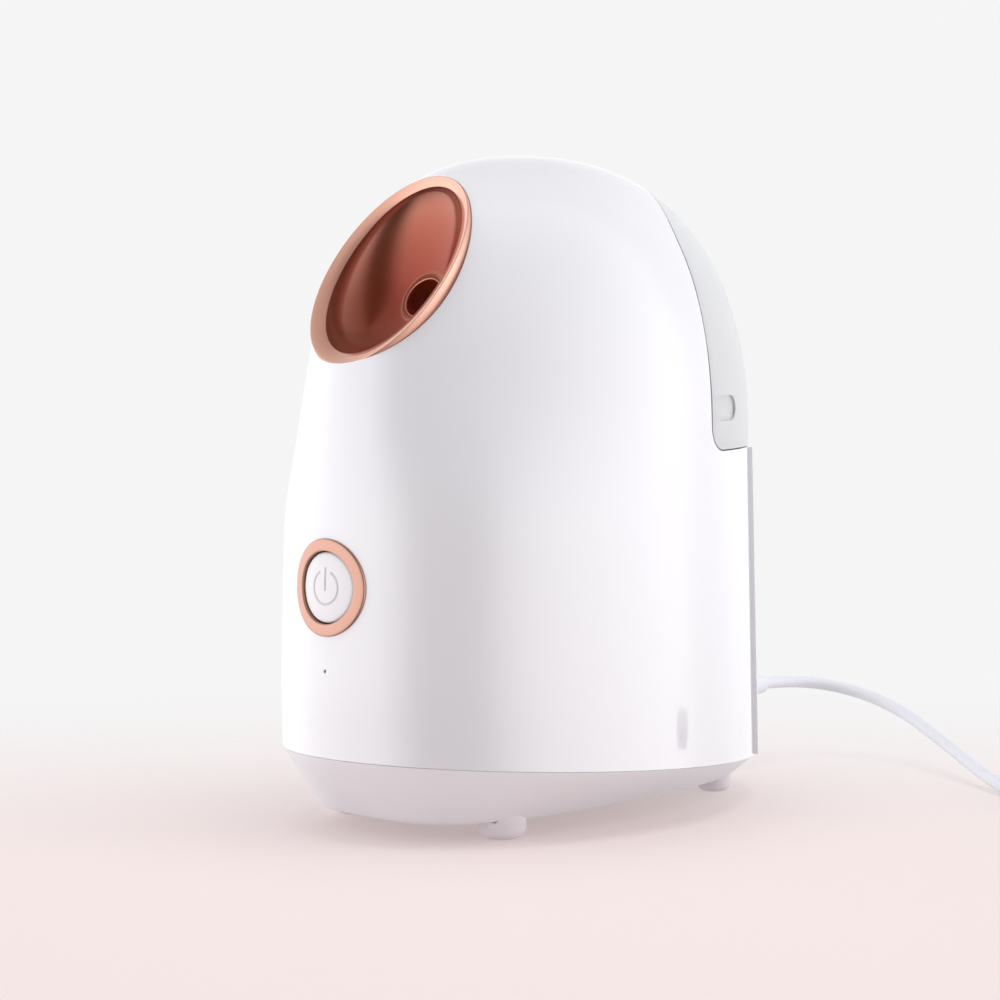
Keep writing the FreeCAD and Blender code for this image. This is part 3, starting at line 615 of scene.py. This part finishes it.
def nozzleAxes():
    # the rim's normal, its up direction and the way in along the neck
    e, n = math.radians(nozzle["rimElevation"]), math.radians(nozzle["neckElevation"])
    normal = np.array((0, -math.cos(e), math.sin(e)))
    upwards = np.array((0, math.sin(e), math.cos(e)))
    inwards = np.array((0, math.cos(n), -math.sin(n)))
    return normal, upwards, inwards


def lipDistance(points):
    # how far a point lies outside the lip's oval, seen along the rim's normal; far points count as outside
    n = nozzle
    normal, upwards, _ = nozzleAxes()
    away = points - np.array(n["centre"])
    ratio = np.hypot(away[:, 0] / n["halfWidth"], away @ upwards / n["halfLength"])
    return np.where(away @ normal > -n["cutDepth"], (ratio - 1) * n["halfWidth"] - n["clearance"], 1.0)


def frontHole(height, radius):
    # how far a point lies outside a round hole in the front
    return lambda p: np.where(p[:, 1] < 0, np.hypot(p[:, 0], p[:, 2] - height) - radius, 1.0)


def makeShell():
    h, b = housing, button
    columnFine = (0.0, b["ledReach"] / 0.064, h["fine"] / h["halfWidth"])
    points, triangles = formGrid(0.0, spots=((b["ledHeight"], b["ledReach"], h["fine"]),),
                                 columnSpots=(columnFine,))
    cuts = [
        lipDistance,
        bayDistance,
        lambda p: np.maximum(h["panelLine"] - p[:, 1], p[:, 2] - bay["floor"] - h["panelLap"]),
        frontHole(b["height"], b["shellBore"]),
        frontHole(b["ledHeight"], b["ledRadius"]),
        lambda p: p[:, 2] - seamHeight(p[:, 1]),
    ]
    points, triangles = cutBy(points, triangles, cuts, toForm)
    piece = addMesh("housingShell", points, triangles)
    faceOut(piece)
    thicken(piece, h["wall"], h["edge"], 2)
    setMaterial(piece, glossWhite)
    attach(piece, "housing")
    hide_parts("main_shell")
    print("shell", len(points), "points")


makeShell()
makePan()
makeRearPanel()

# the lip, bowl and bead tone values set the rose gold ramp: painted shade darkening the lip's slope, the bowl
# and the neck, and a painted highlight on the neck's bead
trumpetLook = dict(columns=160, bowlRows=60, edge=0.00025, lipPaintedShade=0.06, bowlPaintedShade=0.12, bowlPaintedShadeSpan=0.76,
                   beadPaintedHighlight=0.92, outerRows=24, bowlLap=0.0003, neckStart=0.004, rimWall=0.0018, inset=0.0003)


def bowlShare(t):
    # how much of the way from neck to mouth an oval's half-axes still are, t of the way down the bowl
    return (1 - t ** 1.9) ** 0.75


def makeTrumpet():
    # rows of ovals: up the lip's skirt, over its edge, down the sloping lip, the bowl and the neck,
    # and back up their outsides; an oval's centre comes down as the bowl narrows
    n, look = nozzle, trumpetLook
    normal, upwards, inwards = nozzleAxes()
    centre = np.array(n["centre"])
    angle = np.arange(look["columns"]) * 2 * math.pi / look["columns"]
    across = np.cos(angle)[:, None] * np.array((1.0, 0, 0))
    s = np.sin(angle)[:, None]
    w, l, e = n["halfWidth"], n["halfLength"], look["edge"]
    narrow = n["neckBore"] + n["bead"]
    # each ring also gets a tone for the rose gold ramp: painted shade deepening down the bowl and neck, a
    # painted highlight on the neck's bead
    rows, paintedTones = [], []

    def ring(lift, halfAcross, halfAlong, depth=0.0, tilt=0.0, rise=0.0, paintedTone=0.0):
        paintedTones.append(paintedTone)
        lean = math.radians(n["rimElevation"] + (n["neckElevation"] - n["rimElevation"]) * tilt)
        up = np.array((0, math.sin(lean), math.cos(lean)))
        middle = centre + normal * lift + upwards * rise + inwards * depth
        rows.append(middle + across * halfAcross + up * halfAlong * s)

    def bowlRing(t, wall=0.0, lap=0.0, paintedTone=0.0):
        half, tall = (narrow + (mouth - n["lip"] - narrow) * bowlShare(t) + wall for mouth in (w, l))
        depth = n["lipDrop"] + (n["depth"] - n["lipDrop"]) * t + lap
        ring(0, half, tall, depth, t, n["mouthRise"] * (1 - t), paintedTone)

    ring(n["proud"] - n["skirt"], w - look["inset"], l - look["inset"])
    for turn in np.radians((0, 22, 45, 67, 90)):
        back = e - e * math.cos(turn)
        ring(n["proud"] - e + e * math.sin(turn), w - back, l - back)
    slope = n["proud"] + n["lipDrop"]
    for t in (0.12, 0.3, 0.5, 0.7, 0.85, 0.94, 1.0):
        lift = n["proud"] - slope * t ** 1.5
        ring(lift, w - n["lip"] * t, l - n["lip"] * t, rise=n["mouthRise"] * t, paintedTone=look["lipPaintedShade"] * t)
    # the bowl's rings run deeper into painted shade towards the neck
    for t in np.linspace(0, 1, look["bowlRows"])[1:-1] ** 1.15:
        bowlRing(t, paintedTone=look["bowlPaintedShade"] + look["bowlPaintedShadeSpan"] * t)
    # the neck's bead gets a painted highlight tone
    for turn in np.radians((0, 30, 60, 90, 120, 150, 180)):
        radius = n["neckBore"] + n["bead"] * math.cos(turn)
        ring(0, radius, radius, n["depth"] - n["bead"] * math.sin(turn), 1.0, paintedTone=look["beadPaintedHighlight"])
    for extra in (0.0006, 0.001, 0.003, 0.006, 0.010, n["neckLength"] - 0.0003, n["neckLength"]):
        ring(0, n["neckBore"], n["neckBore"], n["depth"] + extra, 1.0, paintedTone=1.0)
    outside = n["neckBore"] + n["neckWall"]
    for extra in (n["neckLength"], look["neckStart"]):
        ring(0, outside, outside, n["depth"] + extra, 1.0)
    for t in np.linspace(0.99, 0.12, look["outerRows"]):
        bowlRing(t, wall=n["wall"], lap=look["bowlLap"])
    ring(n["proud"] - n["skirt"], w - look["rimWall"], l - look["rimWall"])
    faces = gridFaces(len(rows), len(angle), closed=True)
    k = np.arange(len(angle))
    following = (k + 1) % len(angle)
    last = (len(rows) - 1) * len(angle)
    closing = np.column_stack((last + k, last + following, following, k))
    piece = addMesh("nozzleTrumpet", np.concatenate(rows), np.concatenate([faces, closing]))
    # the depth attribute carries each ring's painted shade and painted highlight tone
    paint(piece, "depth", np.repeat(paintedTones, len(angle)))
    faceOut(piece)
    setMaterial(piece, roseGold)
    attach(piece, "housing")
    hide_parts("nozzle_trumpet")


makeTrumpet()
print("nozzle made")

ringLook = dict(columns=128, sunk=-0.0040, top=0.00094, bevelIn=0.0004, bevelOut=0.0012)


def makeRing():
    # a flat-topped collar laid on the front: (radius, height off the form) pairs turned about its middle
    inner, outer = button["ringBore"], button["ringRadius"]
    look = ringLook
    wall = inner + 0.0011
    profile = [(inner, look["sunk"]), (inner, -0.0010), (inner, 0.0005), (inner + 0.00006, 0.00075),
               (inner + 0.0002, 0.0009), (inner + look["bevelIn"], look["top"]),
               (inner + look["bevelOut"], look["top"]), (outer - look["bevelOut"], 0.00088),
               (outer - look["bevelIn"], 0.00084), (outer - 0.00018, 0.00078), (outer - 0.00004, 0.0006),
               (outer, 0.0004), (outer, -0.0003), (outer - 0.002, -0.0004), (wall, -0.0004),
               (wall, look["sunk"]), (inner, look["sunk"])]
    radius, lift = np.array(profile).T[:, :, None]
    angle = np.arange(look["columns"]) * 2 * math.pi / look["columns"]
    x, z = radius * np.sin(angle), button["height"] + radius * np.cos(angle)
    points = np.stack([x, frontOf(x, z) - lift, z], axis=-1).reshape(-1, 3)
    piece = addMesh("buttonRing", points, gridFaces(len(profile), len(angle), closed=True))
    setMaterial(piece, ringGold)
    merge(piece)
    faceOut(piece)
    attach(piece, "housing")
    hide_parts("button_ring")


symbol = dict(radius=0.0051, width=0.00055, gap=math.radians(26), barLow=-0.0006, barHigh=0.0058,
              depth=0.0004, zone=0.0062)


def makeButton():
    # a shallow dome whose edge rolls over, with a power symbol pressed in (an open arc and a bar); rows
    # run out from its middle, over the edge, round the underside and down the stem behind it
    b, e = button, button["edge"]
    flat = b["radius"] - e
    rings = np.concatenate([[0.0, 0.00004], np.linspace(0.0002, symbol["zone"], 41),
                            np.linspace(0.0064, flat, 10), flat + e * np.sin(np.radians((20, 45, 67, 90)))])
    angle = np.arange(220) * 2 * math.pi / 220
    r, a = np.meshgrid(rings, angle, indexing="ij")
    x, dz = r * np.sin(a), r * np.cos(a)
    arc = np.where(np.abs(np.arctan2(x, dz)) < symbol["gap"], 1, np.abs(r - symbol["radius"]))
    bar = np.hypot(x, np.maximum(np.maximum(symbol["barLow"] - dz, dz - symbol["barHigh"]), 0))
    press = eased(1 - np.minimum(arc, bar) / symbol["width"], 0, 1)
    edge = np.clip((r - b["radius"] + e) / e, 0, 1)
    roll = e * (1 - np.sqrt(1 - edge ** 2 * 0.999))
    lift = 0.0001 + b["crown"] * (1 - (r / b["radius"]) ** 2) - roll
    y = frontOf(x, b["height"] + dz) - lift + symbol["depth"] * press
    rows = [np.column_stack((x[k], y[k], dz[k] + b["height"])) for k in range(len(rings))]
    rimY = y[-1] + b["skirt"]
    cup = b["radius"] - b["cupInset"]
    stemTop = rimY.mean() - b["cupDepth"]
    under = [(b["radius"], rimY), (cup, rimY), (cup, rimY - b["cupDepth"]), (b["stemRadius"], stemTop),
             (b["stemRadius"], b["stemEnd"]), (0, b["stemEnd"])]
    for radius, depth in under:
        depth = np.broadcast_to(depth, angle.shape)
        rows.append(np.column_stack((radius * np.sin(angle), depth, b["height"] + radius * np.cos(angle))))
    piece = addMesh("buttonCap", np.concatenate(rows), gridFaces(len(rows), len(angle), closed=True))
    paint(piece, "mark", np.append(press.ravel(), np.zeros(len(under) * len(angle))))
    merge(piece)
    faceOut(piece)
    setMaterial(piece, buttonWhite)
    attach(piece, "button")
    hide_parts("power_button")


makeRing()
makeButton()
print("button made")

spring = dict(start=0.0297, stop=0.0348, height=0.134, radius=0.0034, wire=0.0003, turns=3.5)


def makeSpring():
    # the valve's spring: a wire circle carried along a helix, between the plunger and the tank
    s = spring
    t = np.linspace(0, 1, 120)[:, None]
    turn = 2 * math.pi * s["turns"] * t
    around = np.linspace(0, 2 * math.pi, 9)[:-1][None, :]
    reach = s["radius"] + s["wire"] * np.cos(around)
    along = s["start"] + (s["stop"] - s["start"]) * t + s["wire"] * np.sin(around)
    points = np.stack([reach * np.sin(turn), along, s["height"] + reach * np.cos(turn)], axis=-1)
    points = points.reshape(-1, 3)
    count = around.shape[1]
    faces = gridFaces(len(t), count, closed=True)
    caps = [np.array((0, 1, 2, 3)), np.array((0, 3, 4, 7)), np.array((4, 5, 6, 7))]
    caps += [len(points) - count + cap for cap in caps]
    piece = addMesh("valveSpring", points, np.concatenate([faces, np.array(caps)]))
    faceOut(piece)
    setMaterial(piece, brushed)
    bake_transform(piece)
    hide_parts("valve_spring")


makeSpring()
print("spring made")

stage = dict(floor=(0.631, 0.550, 0.540, 1), glow=(0.250, 0.220, 0.215, 1), wall=(0.915, 0.915, 0.92, 1),
             fadeFrom=0.12, fadeTo=0.58, centre=(0.15, -0.165), size=3.0, overheadPower=1.3,
             overheadShare=0.9, blue=1.02)
topBox = dict(place=(0.10, 0.0, 0.9), aim=(0, 0, 0.1), size=0.7, power=4.0)
studio = [(-180, 1.3), (-140, 1.0), (-110, 1.2), (-75, 2.0), (-2, 2.0), (14, 1.2), (30, 0.06), (58, 0.06),
          (72, 1.1), (88, 1.7), (112, 2.0), (140, 2.3), (153, 1.3), (180, 1.3)]   # bearing: brightness


def addTopBox():
    # a wide soft lamp overhead, left out of reflections
    data = bpy.data.lights.new("topBox", "AREA")
    data.shape = "RECTANGLE"
    data.size = data.size_y = topBox["size"]
    data.energy = topBox["power"]
    piece = bpy.data.objects.new("topBox", data)
    piece.location = topBox["place"]
    away = Vector(topBox["aim"]) - Vector(topBox["place"])
    piece.rotation_euler = away.to_track_quat("-Z", "Y").to_euler()
    piece.visible_camera = False
    piece.visible_glossy = False
    bpy.context.scene.collection.objects.link(piece)


def mathNode(tree, operation, a, b=None):
    # a maths node whose inputs are sockets or plain numbers
    node = tree.nodes.new("ShaderNodeMath")
    node.operation = operation
    for socket, value in zip(node.inputs, (a, b)):
        if value is None:
            continue
        if isinstance(value, (int, float)):
            socket.default_value = value
        else:
            tree.links.new(value, socket)
    return node.outputs[0]


def addStudio():
    # a ring of soft boxes as a brightness by bearing, dimmer overhead; the camera sees a plain pale wall
    world = bpy.data.worlds.new("studio")
    world.use_nodes = True
    tree = world.node_tree
    light = tree.nodes["Background"]
    place = tree.nodes.new("ShaderNodeTexCoord")
    split = tree.nodes.new("ShaderNodeSeparateXYZ")
    tree.links.new(place.outputs["Generated"], split.inputs[0])
    ahead = mathNode(tree, "MULTIPLY", split.outputs[1], -1.0)
    bearing = mathNode(tree, "ARCTAN2", split.outputs[0], ahead)
    share = mathNode(tree, "ADD", mathNode(tree, "DIVIDE", bearing, 2 * math.pi), 0.5)
    ramp = tree.nodes.new("ShaderNodeValToRGB")
    ramp.color_ramp.interpolation = "B_SPLINE"
    while len(ramp.color_ramp.elements) < len(studio):
        ramp.color_ramp.elements.new(0.5)
    peak = max(level for angle, level in studio)
    for element, (angle, level) in zip(ramp.color_ramp.elements, studio):
        element.position = (angle + 180) / 360
        element.color = (level / peak, level / peak, level / peak * stage["blue"], 1)
    tree.links.new(share, ramp.inputs[0])
    high = mathNode(tree, "SMOOTH_MIN", mathNode(tree, "ABSOLUTE", split.outputs[2]), 1.0)
    steep = mathNode(tree, "POWER", high, stage["overheadPower"])
    lower = mathNode(tree, "SUBTRACT", 1.0, mathNode(tree, "MULTIPLY", steep, stage["overheadShare"]))
    glow = mathNode(tree, "MULTIPLY", lower, peak)
    tree.links.new(ramp.outputs[0], light.inputs["Color"])
    tree.links.new(glow, light.inputs["Strength"])
    plain = tree.nodes.new("ShaderNodeBackground")
    plain.inputs["Color"].default_value = stage["wall"]
    mix = tree.nodes.new("ShaderNodeMixShader")
    path = tree.nodes.new("ShaderNodeLightPath")
    tree.links.new(path.outputs["Is Camera Ray"], mix.inputs[0])
    tree.links.new(light.outputs[0], mix.inputs[1])
    tree.links.new(plain.outputs[0], mix.inputs[2])
    tree.links.new(mix.outputs[0], tree.nodes["World Output"].inputs["Surface"])
    bpy.context.scene.world = world


def addFloor():
    # a plain sheet, left out of reflections, whose tint fades into the backdrop with distance
    size = stage["size"]
    points = np.array([(-size, -size, 0), (size, -size, 0), (size, size, 0), (-size, size, 0)])
    floor = addMesh("floor", points, np.array([[0, 1, 2, 3]]))
    material, tree, shader = makeMaterial("floorPaper", Base_Color=stage["floor"], Roughness=0.7,
                                          Specular_IOR_Level=0.2, Emission_Color=stage["glow"],
                                          Emission_Strength=1.0)
    place = tree.nodes.new("ShaderNodeTexCoord")
    shift = tree.nodes.new("ShaderNodeMapping")
    shift.inputs["Location"].default_value = (-stage["centre"][0], -stage["centre"][1], 0)
    reach = tree.nodes.new("ShaderNodeVectorMath")
    reach.operation = "LENGTH"
    fade = tree.nodes.new("ShaderNodeMapRange")
    fade.interpolation_type = "SMOOTHERSTEP"
    ends = {"From Min": stage["fadeFrom"], "From Max": stage["fadeTo"], "To Min": 1.0, "To Max": 0.0}
    for label, value in ends.items():
        fade.inputs[label].default_value = value
    tree.links.new(place.outputs["Object"], shift.inputs["Vector"])
    tree.links.new(shift.outputs[0], reach.inputs[0])
    tree.links.new(reach.outputs["Value"], fade.inputs["Value"])
    tree.links.new(fade.outputs[0], shader.inputs["Alpha"])
    setMaterial(floor, material)
    floor.visible_glossy = False


addFloor()
addStudio()
addTopBox()
bpy.context.scene.view_settings.view_transform = "Standard"
print("stage set")

bpy.context.view_layer.update()
